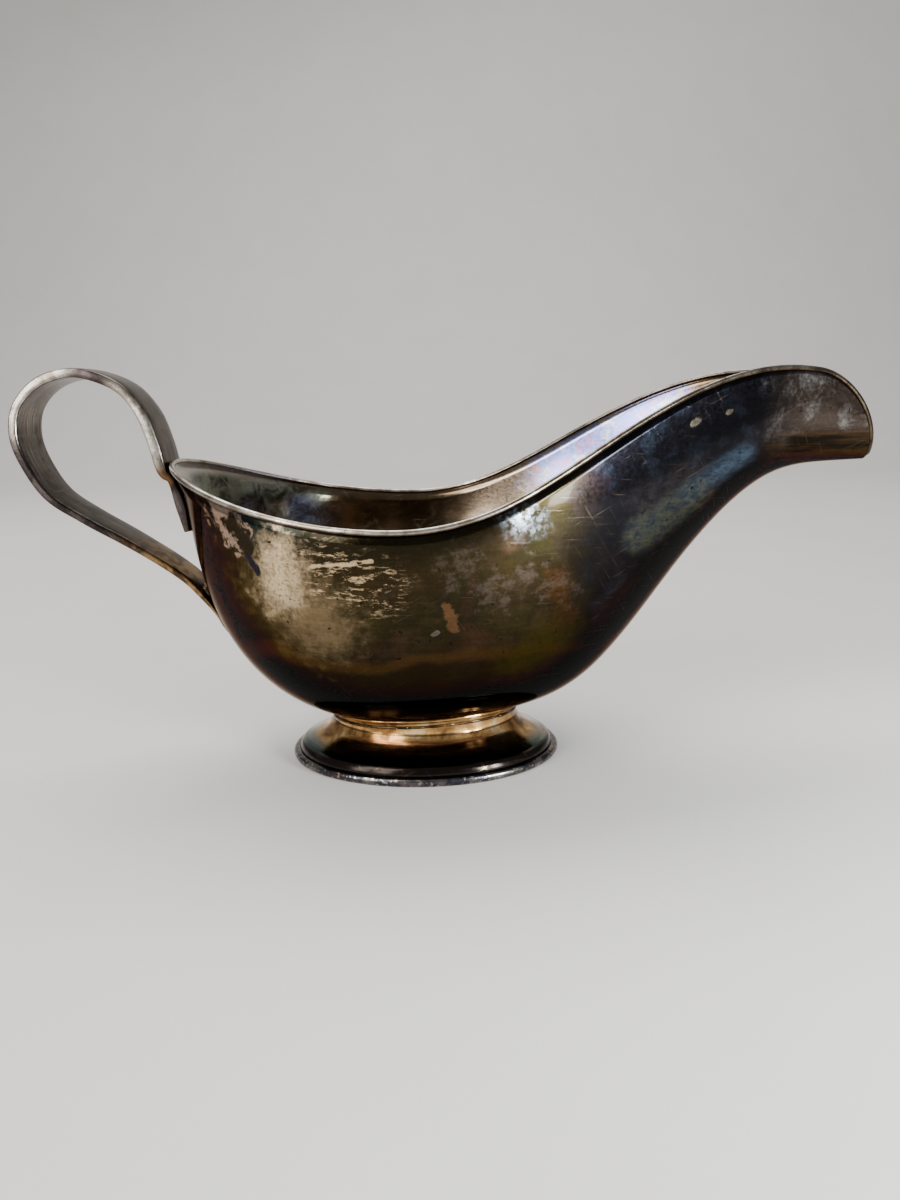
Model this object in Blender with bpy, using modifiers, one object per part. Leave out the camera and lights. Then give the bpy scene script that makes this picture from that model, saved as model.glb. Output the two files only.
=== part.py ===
"""Silver-plated gravy boat: a pressed bowl with a long pouring spout, a wire round its edge,
a bent strap handle and a hollow oval foot, held together by solder.

Metres, +Z up. +X points to the spout, the boat rests on z = 0 and its length is centred on x = 0.
"""

import math

import bmesh
import bpy
import numpy as np
from mathutils import Vector
from mathutils.bvhtree import BVHTree

MM = 0.001

# Fits between pieces
GAP = 0.3  # clearance left where two pieces are soldered together

# Bowl, in mm
WALL = 1.0  # sheet thickness
WIDEST_X = -10.0  # where the bowl is widest
BACK_REACH = 59.6  # from the widest place to the back wall
BACK_RIM_HEIGHT = 84.8
BACK_FULLNESS = 2.5  # squareness of the back wall's side view, 2 is an ellipse
BACK_FLARE = 2.9  # how far the top of the back wall turns out
FLARE_SHARPNESS = 15.0  # higher keeps the turned-out part closer to the rim
SECTION_FULLNESS = 2.1  # squareness of the cross-sections
LIP_START = 106.0  # where the rim starts to fall round the pouring lip
LIP_FULLNESS = 2.1
# distance ahead of the widest place, half width, rim height, keel height
SECTIONS = (
    (0.0, 49.0, 70.7, 10.7),
    (25.0, 45.6, 75.7, 13.7),
    (50.0, 35.6, 89.0, 25.0),
    (75.0, 25.4, 101.4, 56.4),
    (100.0, 16.4, 105.9, 78.8),
    (115.0, 11.4, 104.1, 81.4),
    (124.8, 8.4, 102.9, 81.8),
)
SECTION_ROWS = 14  # mesh rows from keel to rim
BACK_COLUMNS = 14  # mesh columns from the back to the widest place
FRONT_COLUMNS = 17  # mesh columns from the widest place to the lip
LIP_COLUMNS = 10  # mesh columns round the lip

# Wire round the rim, in mm
RIM_WIRE_RADIUS = 0.8

# Foot, in mm
FOOT_X = -7.0
FOOT_ROUNDNESS = 0.75  # width of the oval over its length
FOOT_WALL = 0.9
FOOT_EDGE_RADIUS = 38.6  # half length of the oval at the table
# radius along the length and height, from the bowl down to the edge
FOOT_PROFILE = (
    (26.6, 18.5),
    (26.4, 13.5),
    (26.8, 11.2),
    (28.2, 9.0),
    (31.0, 6.9),
    (34.4, 5.3),
    (36.2, 4.2),
    (36.9, 2.95),
)
EDGE_HEIGHT = 2.5
EDGE_WIDTH = 2.7
EDGE_ROUNDING = 0.9
SEAM_RADIUS = 0.6  # solder bead between bowl and foot

# Handle strap, in mm
STRAP_TAIL_LOW = 66.5  # height of the end of the tail on the back wall
STRAP_TAIL_HIGH = 74.0
STRAP_LANDING_HIGH = 43.0  # height where the strap first lies on the bowl
STRAP_LANDING_LOW = 37.0
# centre line from the crank under the rim, round the finger loop and down: x, height,
# thickness, half width
STRAP_LINE = (
    (-73.2, 80.1, 2.0, 7.3),
    (-75.0, 81.9, 2.5, 7.3),
    (-76.0, 84.3, 2.9, 7.3),
    (-77.2, 90.0, 3.0, 7.3),
    (-79.7, 97.6, 2.9, 7.3),
    (-84.2, 104.0, 2.5, 7.3),
    (-90.6, 107.6, 2.5, 7.4),
    (-98.1, 109.0, 2.5, 7.5),
    (-106.5, 106.6, 2.5, 7.6),
    (-112.6, 100.6, 2.4, 7.7),
    (-114.3, 93.0, 2.4, 7.7),
    (-112.2, 85.1, 2.3, 7.7),
    (-107.0, 76.6, 2.2, 7.6),
    (-98.1, 70.2, 2.1, 7.4),
    (-85.8, 62.8, 2.0, 7.0),
    (-73.1, 53.9, 1.9, 6.6),
    (-67.4, 47.7, 1.6, 6.4),
)
TAIL_THICKNESS = 1.8
TAIL_HALF_WIDTH = 7.3
LANDING_THICKNESS = 1.0
LANDING_HALF_WIDTH = 6.0
STRAP_STEPS = 4  # mesh steps between two points of the centre line
STRAP_ROUNDING = 0.45
UPPER_SOLDER = (-73.0, 82.95, 0.45, 11.0)  # x, height, radius, length
LOWER_SOLDER = (-66.95, 50.2, 0.5, 10.0)


def clear_scene():
    for thing in list(bpy.data.objects):
        bpy.data.objects.remove(thing, do_unlink=True)


def new_collection(name):
    collection = bpy.data.collections.new(name)
    bpy.context.scene.collection.children.link(collection)
    return collection


def metal(name, colour, roughness):
    material = bpy.data.materials.new(name)
    material.use_nodes = True
    shader = material.node_tree.nodes["Principled BSDF"]
    shader.inputs["Base Color"].default_value = (*colour, 1.0)
    shader.inputs["Metallic"].default_value = 1.0
    shader.inputs["Roughness"].default_value = roughness
    return material


def silver_plate():
    return metal("silver_plate", (0.42, 0.38, 0.32), 0.22)


def bright_wire():
    return metal("bright_wire", (0.70, 0.68, 0.63), 0.25)


def strap_silver():
    return metal("strap_silver", (0.50, 0.47, 0.42), 0.30)


def gilt_tarnish():
    return metal("gilt_tarnish", (0.45, 0.33, 0.20), 0.22)


def solder():
    return metal("solder", (0.30, 0.25, 0.20), 0.45)


def spline(xs, ys):
    """A smooth curve through the points, level at the first one."""
    xs = np.array(xs, float)
    ys = np.array(ys, float)
    count = len(xs)
    steps = np.diff(xs)
    rises = np.diff(ys) / steps
    matrix = np.zeros((count, count))
    target = np.zeros(count)
    matrix[0, 0] = 1.0
    for i in range(1, count - 1):
        matrix[i, i - 1] = steps[i]
        matrix[i, i] = 2.0 * (steps[i - 1] + steps[i])
        matrix[i, i + 1] = steps[i - 1]
        target[i] = 3.0 * (steps[i] * rises[i - 1] + steps[i - 1] * rises[i])
    matrix[-1, -2] = 1.0
    matrix[-1, -1] = 2.0
    target[-1] = 3.0 * rises[-1]
    slopes = np.linalg.solve(matrix, target)

    def value(x):
        i = int(np.clip(np.searchsorted(xs, x) - 1, 0, count - 2))
        t = (x - xs[i]) / steps[i]
        return float(
            ys[i] * (1 + 2 * t) * (1 - t) ** 2
            + slopes[i] * steps[i] * t * (1 - t) ** 2
            + ys[i + 1] * t * t * (3 - 2 * t)
            + slopes[i + 1] * steps[i] * t * t * (t - 1)
        )

    return value


AHEAD = [row[0] for row in SECTIONS]
HALF_WIDTH = spline(AHEAD, [row[1] for row in SECTIONS])
RIM_HEIGHT = spline(AHEAD, [row[2] for row in SECTIONS])
KEEL_HEIGHT = spline(AHEAD, [row[3] for row in SECTIONS])
LENGTH_AHEAD = AHEAD[-1]
KEEL_LOW = SECTIONS[0][3]
EDGE_DROP = RIM_WIRE_RADIUS + GAP  # the sheet ends this far below the wire's centre


def back_wall_x(height):
    """Where the back wall's outside stands at a height, on the centre plane."""
    share = (height - KEEL_LOW) / (BACK_RIM_HEIGHT - EDGE_DROP - KEEL_LOW)
    out = (1.0 - (1.0 - share) ** BACK_FULLNESS) ** (1.0 / BACK_FULLNESS)
    return WIDEST_X - BACK_REACH * out - BACK_FLARE * share**FLARE_SHARPNESS


def section_point(angle, fullness):
    """Share of the half width and share of the height, from keel (0) to rim (quarter turn)."""
    out = math.sin(angle) ** (2.0 / fullness)
    up = 1.0 - max(math.cos(angle), 0.0) ** (2.0 / fullness)
    return out, up


def back_column(turn, drop):
    """One line of the back, from the keel to the rim; turn 90 degrees is straight back."""
    across = math.cos(turn)
    along = math.sin(turn)
    side_top = SECTIONS[0][2] - drop - KEEL_LOW
    back_top = BACK_RIM_HEIGHT - drop - KEEL_LOW
    column = []
    for row in range(SECTION_ROWS + 1):
        angle = 0.5 * math.pi * row / SECTION_ROWS
        side_out, side_up = section_point(angle, SECTION_FULLNESS)
        back_out, back_up = section_point(angle, BACK_FULLNESS)
        flare = BACK_FLARE * along * back_up**FLARE_SHARPNESS
        x = WIDEST_X - BACK_REACH * back_out * along - flare
        y = SECTIONS[0][1] * side_out * across
        side_z = KEEL_LOW + side_top * side_up
        back_z = KEEL_LOW + back_top * back_up
        z = side_z + (back_z - side_z) * along**2
        column.append((x, max(y, 0.0), z))
    return column


def front_column(ahead, drop):
    """One cross-section of the front, from the keel to the rim or the falling lip."""
    keel = KEEL_HEIGHT(ahead)
    depth = RIM_HEIGHT(ahead) - drop - keel
    tip = LENGTH_AHEAD - drop
    past = max(0.0, (ahead - LIP_START) / (tip - LIP_START))
    kept = max(0.0, 1.0 - past**LIP_FULLNESS) ** 0.5
    last = math.acos(min(1.0, max(0.0, 1.0 - kept)) ** (SECTION_FULLNESS / 2.0))
    column = []
    for row in range(SECTION_ROWS + 1):
        out, up = section_point(last * row / SECTION_ROWS, SECTION_FULLNESS)
        column.append((WIDEST_X + ahead, HALF_WIDTH(ahead) * out, keel + depth * up))
    return column


def hull_columns(drop):
    columns = []
    for i in range(BACK_COLUMNS):
        turn = 0.5 * math.pi * (1.0 - i / BACK_COLUMNS)
        columns.append(back_column(turn, drop))
    for i in range(FRONT_COLUMNS):
        columns.append(front_column(LIP_START * i / FRONT_COLUMNS, drop))
    lip = LENGTH_AHEAD - drop - LIP_START
    for i in range(LIP_COLUMNS + 1):
        round_lip = math.sin(0.5 * math.pi * i / LIP_COLUMNS)
        columns.append(front_column(LIP_START + lip * round_lip, drop))
    return columns


def mesh_object(name, verts, faces, collection, material=None):
    mesh = bpy.data.meshes.new(name)
    mesh.from_pydata([tuple(c * MM for c in v) for v in verts], [], faces)
    mesh.update()
    thing = bpy.data.objects.new(name, mesh)
    collection.objects.link(thing)
    if material is not None:
        mesh.materials.append(material)
    return thing


def tidy_mesh(thing, distance=0.00001):
    """Merge the points that meet at the keel and the lip, and face everything outwards."""
    mesh = bmesh.new()
    mesh.from_mesh(thing.data)
    bmesh.ops.remove_doubles(mesh, verts=mesh.verts, dist=distance)
    bmesh.ops.dissolve_degenerate(mesh, dist=distance, edges=mesh.edges)
    bmesh.ops.recalc_face_normals(mesh, faces=mesh.faces)
    mesh.to_mesh(thing.data)
    mesh.free()


def bake(thing):
    """Replace an object's mesh by what its modifiers make of it."""
    graph = bpy.context.evaluated_depsgraph_get()
    made = bpy.data.meshes.new_from_object(thing.evaluated_get(graph))
    materials = [m for m in thing.data.materials]
    thing.modifiers.clear()
    thing.data = made
    if not made.materials:
        for material in materials:
            made.materials.append(material)


def hull_surface(name, drop, collection):
    """The outside of the bowl as an open surface, both halves."""
    columns = hull_columns(drop)
    rows = SECTION_ROWS + 1
    verts = [point for column in columns for point in column]
    faces = []
    for i in range(len(columns) - 1):
        for j in range(SECTION_ROWS):
            a = i * rows + j
            faces.append((a, a + 1, a + rows + 1, a + rows))
    thing = mesh_object(name, verts, faces, collection)
    tidy_mesh(thing)
    mirror = thing.modifiers.new("both_halves", "MIRROR")
    mirror.use_axis = (False, True, False)
    mirror.merge_threshold = 0.0001
    bake(thing)
    tidy_mesh(thing)
    face_down(thing)
    return thing


def face_down(thing):
    """Turn an open bowl surface so that its faces look away from its inside."""
    lowest = min(thing.data.polygons, key=lambda p: p.center.z)
    if lowest.normal.z > 0:
        thing.data.flip_normals()


def make_bowl(collection):
    bowl = hull_surface("bowl", EDGE_DROP, collection)
    bowl.data.materials.append(silver_plate())
    sheet = bowl.modifiers.new("sheet", "SOLIDIFY")
    sheet.thickness = WALL * MM
    sheet.offset = -1.0
    sheet.use_even_offset = True
    bowl.data.shade_smooth()
    return bowl


def rim_loop(surface):
    """Centre line of the wire: one point per edge point of the sheet, in order, in mm."""
    mesh = bmesh.new()
    mesh.from_mesh(surface.data)
    mesh.normal_update()
    start = min((v for v in mesh.verts if v.is_boundary), key=lambda v: v.co.x)
    loop = [start]
    previous = None
    while True:
        nearby = [e.other_vert(loop[-1]) for e in loop[-1].link_edges if e.is_boundary]
        ahead = [v for v in nearby if v is not previous]
        previous = loop[-1]
        if ahead[0] is start:
            break
        loop.append(ahead[0])
    points = []
    for i, vert in enumerate(loop):
        along = loop[(i + 1) % len(loop)].co - loop[i - 1].co
        outward = vert.normal.cross(along).normalized()
        inside = [e.other_vert(vert).co for e in vert.link_edges if not e.is_boundary]
        if inside and outward.dot(vert.co - inside[0]) < 0:
            outward = -outward
        middle = vert.co - vert.normal * (0.5 * WALL * MM)
        points.append((middle + outward * (EDGE_DROP * MM)) / MM)
    mesh.free()
    return points


def closed_wire(name, points, radius, collection, material, sides=2):
    curve = bpy.data.curves.new(name, "CURVE")
    curve.dimensions = "3D"
    line = curve.splines.new("POLY")
    line.points.add(len(points) - 1)
    for place, point in zip(line.points, points, strict=True):
        place.co = (point[0] * MM, point[1] * MM, point[2] * MM, 1.0)
    line.use_cyclic_u = True
    curve.bevel_depth = radius * MM
    curve.bevel_resolution = sides
    curve.materials.append(material)
    thing = bpy.data.objects.new(name, curve)
    collection.objects.link(thing)
    return thing


def thin_out(points, spacing):
    """Drop points that crowd together, so the wire keeps an even, clean bend."""
    kept = [points[0]]
    for point in points[1:]:
        if (point - kept[-1]).length > spacing:
            kept.append(point)
    if (kept[-1] - kept[0]).length < spacing:
        kept.pop()
    return kept


def make_rim_wire(surface, collection):
    points = thin_out(rim_loop(surface), 1.6 * RIM_WIRE_RADIUS)
    wire = closed_wire("rim_wire", points, RIM_WIRE_RADIUS, collection, bright_wire(), 2)
    return wire


def turned(name, profile, closed, collection, steps=56):
    """A profile of radius and height turned into the foot's oval."""
    count = len(profile)
    edges = [(i, i + 1) for i in range(count - 1)]
    if closed:
        edges.append((count - 1, 0))
    mesh = bpy.data.meshes.new(name)
    mesh.from_pydata([(r * MM, 0.0, z * MM) for r, z in profile], edges, [])
    thing = bpy.data.objects.new(name, mesh)
    collection.objects.link(thing)
    screw = thing.modifiers.new("turn", "SCREW")
    screw.axis = "Z"
    screw.steps = steps
    screw.render_steps = steps
    screw.use_merge_vertices = True
    screw.merge_threshold = 0.0001
    return thing


def place_oval(thing):
    """Squash a turned piece to the foot's oval and move it under the bowl."""
    bake(thing)
    for vert in thing.data.vertices:
        vert.co.y *= FOOT_ROUNDNESS
        vert.co.x += FOOT_X * MM
    tidy_mesh(thing)


def hull_clearance(collection):
    """The bowl's outside grown by the gap and closed at the top, to trim the foot with."""
    cutter = hull_surface("bowl_clearance", EDGE_DROP, collection)
    mesh = bmesh.new()
    mesh.from_mesh(cutter.data)
    mesh.normal_update()
    for vert in mesh.verts:
        vert.co += vert.normal * (GAP * MM)
    rim = [edge for edge in mesh.edges if edge.is_boundary]
    lid = bmesh.ops.extrude_edge_only(mesh, edges=rim)
    raised = [v for v in lid["geom"] if isinstance(v, bmesh.types.BMVert)]
    centre = Vector((WIDEST_X * MM, 0.0, 0.0))
    for vert in raised:
        vert.co = (centre.x, 0.0, vert.co.z + 0.01)
    bmesh.ops.pointmerge(mesh, verts=raised, merge_co=(centre.x, 0.0, 0.12))
    bmesh.ops.recalc_face_normals(mesh, faces=mesh.faces)
    mesh.to_mesh(cutter.data)
    mesh.free()
    return cutter


def make_foot(cutter, collection):
    foot = turned("foot", FOOT_PROFILE, False, collection)
    sheet = foot.modifiers.new("sheet", "SOLIDIFY")
    sheet.thickness = FOOT_WALL * MM
    sheet.use_even_offset = True
    place_oval(foot)
    foot.data.materials.append(gilt_tarnish())
    trim = foot.modifiers.new("fit_to_bowl", "BOOLEAN")
    trim.object = cutter
    trim.operation = "DIFFERENCE"
    trim.solver = "EXACT"
    bake(foot)
    tidy_mesh(foot)
    foot.data.set_sharp_from_angle(angle=math.radians(40))
    return foot


def make_foot_edge(collection):
    """The thick edge the boat stands on: flat below, rounded above and outside."""
    outer = FOOT_EDGE_RADIUS
    inner = outer - EDGE_WIDTH
    r = EDGE_ROUNDING
    profile = (
        (outer, 0.5 * EDGE_HEIGHT),
        (outer - 0.3 * r, r * 0.45),
        (outer - r, 0.0),
        (inner, 0.0),
        (inner, EDGE_HEIGHT - r),
        (inner + 0.3 * r, EDGE_HEIGHT - 0.3 * r),
        (inner + r, EDGE_HEIGHT),
        (outer - r, EDGE_HEIGHT),
        (outer - 0.3 * r, EDGE_HEIGHT - 0.45 * r),
    )
    edge = turned("foot_edge", profile, True, collection)
    place_oval(edge)
    edge.data.materials.append(gilt_tarnish())
    edge.data.set_sharp_from_angle(angle=math.radians(40))
    return edge


def make_foot_seam(surface, collection):
    """Solder bead running round the outside of the joint between bowl and foot."""
    tree = BVHTree.FromObject(surface, bpy.context.evaluated_depsgraph_get())
    stand_off = SEAM_RADIUS + GAP
    radius = FOOT_PROFILE[1][0] + 0.5 + stand_off
    points = []
    for i in range(64):
        turn = 2.0 * math.pi * i / 64
        x = FOOT_X + radius * math.cos(turn)
        y = (radius * FOOT_ROUNDNESS + 0.3) * math.sin(turn)
        above = tree.ray_cast(Vector((x * MM, y * MM, 0.0)), Vector((0.0, 0.0, 1.0)))
        rise = stand_off / abs(above[1].z)
        points.append(Vector((x, y, above[0].z / MM - rise)))
    return closed_wire("foot_solder_seam", points, SEAM_RADIUS, collection, solder(), 1)


def wall_station(height, thickness, half_width):
    """A point of the strap's centre line lying against the back wall."""
    step = 0.5
    slope = (back_wall_x(height + step) - back_wall_x(height - step)) / (2 * step)
    size = math.hypot(1.0, slope)
    away = GAP + 0.1 + 0.5 * thickness
    x = back_wall_x(height) - away / size
    return (x, height + away * slope / size, thickness, half_width)


def strap_stations():
    middle = 0.5 * (STRAP_TAIL_LOW + STRAP_TAIL_HIGH)
    tail = [
        wall_station(z, TAIL_THICKNESS, TAIL_HALF_WIDTH)
        for z in (STRAP_TAIL_LOW, middle, STRAP_TAIL_HIGH)
    ]
    landing = [
        wall_station(z, LANDING_THICKNESS, LANDING_HALF_WIDTH)
        for z in (STRAP_LANDING_HIGH, STRAP_LANDING_LOW)
    ]
    return tail + list(STRAP_LINE) + landing


def smooth_through(points, steps):
    """Points on a smooth line through the given ones."""
    padded = [points[0], *points, points[-1]]
    made = []
    for i in range(1, len(padded) - 2):
        a, b, c, d = (np.array(padded[i + k]) for k in (-1, 0, 1, 2))
        for k in range(steps):
            t = k / steps
            made.append(
                0.5
                * (
                    2 * b
                    + (c - a) * t
                    + (2 * a - 5 * b + 4 * c - d) * t**2
                    + (3 * b - a - 3 * c + d) * t**3
                )
            )
    made.append(np.array(points[-1]))
    return made


def make_handle(collection):
    """A flat strip along the centre line, thickened to the strap."""
    line = smooth_through(strap_stations(), STRAP_STEPS)
    thickest = max(station[2] for station in line)
    verts = []
    for x, z, _, half_width in line:
        verts += [(x, -half_width, z), (x, half_width, z)]
    faces = [(2 * i, 2 * i + 2, 2 * i + 3, 2 * i + 1) for i in range(len(line) - 1)]
    handle = mesh_object("handle", verts, faces, collection, strap_silver())
    group = handle.vertex_groups.new(name="thickness")
    for i, station in enumerate(line):
        group.add([2 * i, 2 * i + 1], station[2] / thickest, "REPLACE")
    sheet = handle.modifiers.new("strap", "SOLIDIFY")
    sheet.thickness = thickest * MM
    sheet.offset = 0.0
    sheet.vertex_group = group.name
    rounding = handle.modifiers.new("rounded_edges", "BEVEL")
    rounding.width = STRAP_ROUNDING * MM
    rounding.segments = 2
    rounding.limit_method = "ANGLE"
    rounding.angle_limit = math.radians(60)
    handle.data.shade_smooth()
    return handle


def solder_rod(name, place, collection):
    """A short run of solder lying across the boat, with rounded-off ends."""
    x, z, radius, length = place
    bpy.ops.mesh.primitive_cylinder_add(
        vertices=12,
        radius=radius * MM,
        depth=length * MM,
        location=(x * MM, 0.0, z * MM),
        rotation=(0.5 * math.pi, 0.0, 0.0),
    )
    rod = bpy.context.object
    rod.name = name
    rod.data.name = name
    for owner in list(rod.users_collection):
        owner.objects.unlink(rod)
    collection.objects.link(rod)
    rod.data.materials.append(solder())
    ends = rod.modifiers.new("rounded_ends", "BEVEL")
    ends.width = 0.5 * radius * MM
    ends.segments = 2
    ends.limit_method = "ANGLE"
    ends.angle_limit = math.radians(60)
    return rod


def main():
    clear_scene()
    boat = new_collection("gravy_boat")
    cutters = new_collection("cutters")
    surface = hull_surface("bowl_outside", EDGE_DROP, cutters)
    clearance = hull_clearance(cutters)
    make_bowl(boat)
    make_rim_wire(surface, boat)
    make_foot(clearance, boat)
    make_foot_edge(boat)
    make_foot_seam(surface, boat)
    make_handle(boat)
    solder_rod("handle_upper_solder", UPPER_SOLDER, boat)
    solder_rod("handle_lower_solder", LOWER_SOLDER, boat)
    for cutter in (surface, clearance):
        cutter.hide_render = True
        cutter.display_type = "WIRE"


main()
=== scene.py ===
"""The looks of the silver-plated gravy boat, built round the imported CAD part.

Shapes are worked out in mm in the row frame: +X to the spout, +Z up, the table at z = 0.
"""

import math

import bmesh
import bpy
import numpy as np
from mathutils import Matrix, Vector, noise
from mathutils.bvhtree import BVHTree


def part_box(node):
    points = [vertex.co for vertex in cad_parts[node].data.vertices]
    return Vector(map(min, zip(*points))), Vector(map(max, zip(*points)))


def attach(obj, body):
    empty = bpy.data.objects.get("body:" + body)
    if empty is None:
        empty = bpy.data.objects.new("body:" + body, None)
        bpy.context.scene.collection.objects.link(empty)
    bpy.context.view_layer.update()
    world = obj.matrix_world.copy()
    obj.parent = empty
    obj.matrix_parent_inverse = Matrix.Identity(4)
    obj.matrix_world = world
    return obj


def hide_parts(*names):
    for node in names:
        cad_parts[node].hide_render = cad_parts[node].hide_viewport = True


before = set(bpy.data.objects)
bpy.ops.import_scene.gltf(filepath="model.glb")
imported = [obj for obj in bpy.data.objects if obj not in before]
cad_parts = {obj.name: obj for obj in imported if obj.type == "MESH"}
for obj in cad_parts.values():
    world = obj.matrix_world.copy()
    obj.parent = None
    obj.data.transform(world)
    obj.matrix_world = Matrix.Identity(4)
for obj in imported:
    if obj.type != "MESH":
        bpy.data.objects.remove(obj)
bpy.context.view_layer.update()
BODY = "root"
MM = 0.001


def box_mm(node):
    low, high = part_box(node)
    return low / MM, high / MM


BOWL_LOW, BOWL_HIGH = box_mm("bowl")
EDGE_LOW, EDGE_HIGH = box_mm("foot_edge")
HANDLE_LOW = box_mm("handle")[0]

# Bowl, in mm
WALL = 1.0  # sheet thickness
BACK_LENGTH = 62.5  # from the widest place to the CAD bowl's back edge
WIDEST_X = BOWL_LOW.x + BACK_LENGTH
BACK_REACH = 59.6  # from the widest place to the upright part of the back wall
BACK_RIM_HEIGHT = 84.8
BACK_FULLNESS = 2.5  # squareness of the back wall's side view, 2 is an ellipse
BACK_FLARE = 3.6  # how far the top of the back wall turns out
FLARE_SHARPNESS = 15.0
SECTION_FULLNESS = 2.1  # squareness of the cross-sections
LIP_START = 106.0  # where the rim starts to fall round the pouring lip
LIP_FULLNESS = 2.1
# distance ahead of the widest place, half width, rim height, keel height
SECTIONS = (
    (0.0, BOWL_HIGH.y, 70.7, BOWL_LOW.z),
    (25.0, 45.6, 75.7, 13.7),
    (50.0, 35.6, 89.0, 25.0),
    (75.0, 25.4, 101.4, 56.4),
    (100.0, 16.4, 105.9, 78.8),
    (115.0, 11.4, 104.1, 81.4),
    (124.8, 8.4, 102.9, 81.8),
)
SECTION_ROWS = 44
BACK_COLUMNS = 44
FRONT_COLUMNS = 60
LIP_COLUMNS = 24

# Bead round the rim, in mm
BEAD_DROP = 0.5  # from the middle of the bead down to the edge of the sheet
BEAD_OUT = 0.75  # half width across the sheet
BEAD_UP = 0.75  # half height
BEAD_SHIFT = 0.15  # how far it sits out from the sheet's middle
BEAD_SIDES = 16
BEAD_SPACING = 0.8  # closest that two of its rings stand
BEAD_WEAR = 0.05  # share of its width lost or left by wear
SLIM_FROM = 0.0  # along the boat: the bead gets slimmer from here
SLIM_TO = 50.0  # to here, and stays slim round the spout
SLIM_LOSS = 0.14

# Foot, in mm
FOOT_X = 0.5 * (EDGE_LOW.x + EDGE_HIGH.x)
FOOT_RADIUS = 0.5 * (EDGE_HIGH.x - EDGE_LOW.x)
FOOT_ROUNDNESS = (EDGE_HIGH.y - EDGE_LOW.y) / (EDGE_HIGH.x - EDGE_LOW.x)
FOOT_WALL = 0.9
FOOT_TURN_STEPS = 144
COLLAR_RADIUS = 26.2
COLLAR_ROWS = 10
COLLAR_SPREAD = 0.9  # how far the collar turns out where it meets the bowl
# distance inside the foot's edge and height, from the crease under the collar to the edge bead
FOOT_FLARE = (
    (12.0, 11.3),
    (11.6, 10.7),
    (10.3, 9.0),
    (7.6, 7.0),
    (4.4, 5.4),
    (3.3, 4.9),
    (2.5, 4.2),
    (2.05, 3.3),
    (1.9, 2.6),
)
EDGE_HEIGHT = EDGE_HIGH.z - EDGE_LOW.z
EDGE_WIDTH = 2.9
SEAM_RADIUS = 0.42
SEAM_DROP = 1.5  # from the bowl down to the run of solder on the collar
SEAM_PROUD = 0.12  # how far its middle stands out from the collar
SEAM_SIDES = 10
SEAM_STEPS = 4 * FOOT_TURN_STEPS

# Handle strap, in mm
STRAP_TAIL_LOW = 66.5  # height of the end of the tail on the back wall
STRAP_TAIL_HIGH = 74.0
STRAP_LANDING_HIGH = 43.0  # height where the strap first lies on the bowl
STRAP_LANDING_LOW = HANDLE_LOW.z
# centre line from the crank under the rim, round the finger loop and down: x, height,
# thickness, half width
STRAP_LINE = (
    (-73.2, 80.1, 2.0, 7.3),
    (-75.0, 81.9, 2.5, 7.3),
    (-76.0, 84.3, 2.9, 7.3),
    (-77.2, 90.0, 3.0, 7.3),
    (-79.7, 97.6, 2.9, 7.3),
    (-84.2, 104.0, 2.5, 7.3),
    (-90.6, 107.6, 2.5, 7.4),
    (-98.1, 109.0, 2.5, 7.5),
    (-106.5, 106.6, 2.5, 7.6),
    (-112.6, 100.6, 2.4, 7.7),
    (-114.3, 93.0, 2.4, 7.7),
    (-112.2, 85.1, 2.3, 7.7),
    (-107.0, 76.6, 2.2, 7.6),
    (-98.1, 70.2, 2.1, 7.4),
    (-85.8, 62.8, 2.0, 7.0),
    (-73.1, 53.9, 1.9, 6.6),
    (-67.4, 47.7, 1.6, 6.4),
)
TAIL_THICKNESS = 1.8  # at the tail's end; it grows to the full thickness at the crank
STRAP_THICKNESS = 2.9
TAIL_HALF_WIDTH = 7.3
LANDING_THICKNESS = 0.9
LANDING_HALF_WIDTH = 5.8
STRAP_STEPS = 8
STRAP_ROUNDING = 0.55
STRAP_CROWN = 0.12  # the strap's faces are slightly full

# Studio floor, in mm
FLOOR_HALF_WIDTH = 9000.0
FLOOR_FRONT = -9000.0
FLOOR_BEND = 900.0  # where the floor starts to curve up behind the object
FLOOR_BEND_RADIUS = 500.0
FLOOR_BEND_STEPS = 16
WALL_TOP = 1800.0

# Lights and camera, in m
SKY_COLOUR = (0.80, 0.81, 0.84, 1.0)
SKY_STRENGTH = 0.48
MIDDLE = (0.0, 0.0, 0.06)  # what most lights point at
SPOUT_SIDE = (0.02, -0.045, 0.074)  # the place on the bowl where a window shows
WHITE = (1.0, 1.0, 1.0)
WARM = (1.0, 0.98, 0.95)
COOL = (0.88, 0.95, 1.0)
# name, place, what it points at, size, power in watts, colour
LIGHTS = (
    ("overhead", (-0.2, 0.45, 1.2), MIDDLE, (1.3, 0.8), 17.0, WHITE),
    ("window_left", (-0.66, -0.61, 0.46), MIDDLE, (0.2, 0.86), 5.0, WARM),
    ("window_left_pane", (-0.46, -0.77, 0.46), MIDDLE, (0.2, 0.86), 5.0, WARM),
    ("window_right", (0.235, -0.275, 0.075), SPOUT_SIDE, (0.03, 0.12), 1.4, COOL),
    ("window_right_pane", (0.285, -0.235, 0.075), SPOUT_SIDE, (0.03, 0.12), 1.4, COOL),
)
CAMERA_PLACE = (0.00414, -0.25013, 0.09969)
CAMERA_TURN = (-0.72, 12.47, -1.26)  # yaw, downward pitch and roll, in degrees
CAMERA_LENS = 27.03


# ---------------------------------------------------------------- shapes


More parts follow.
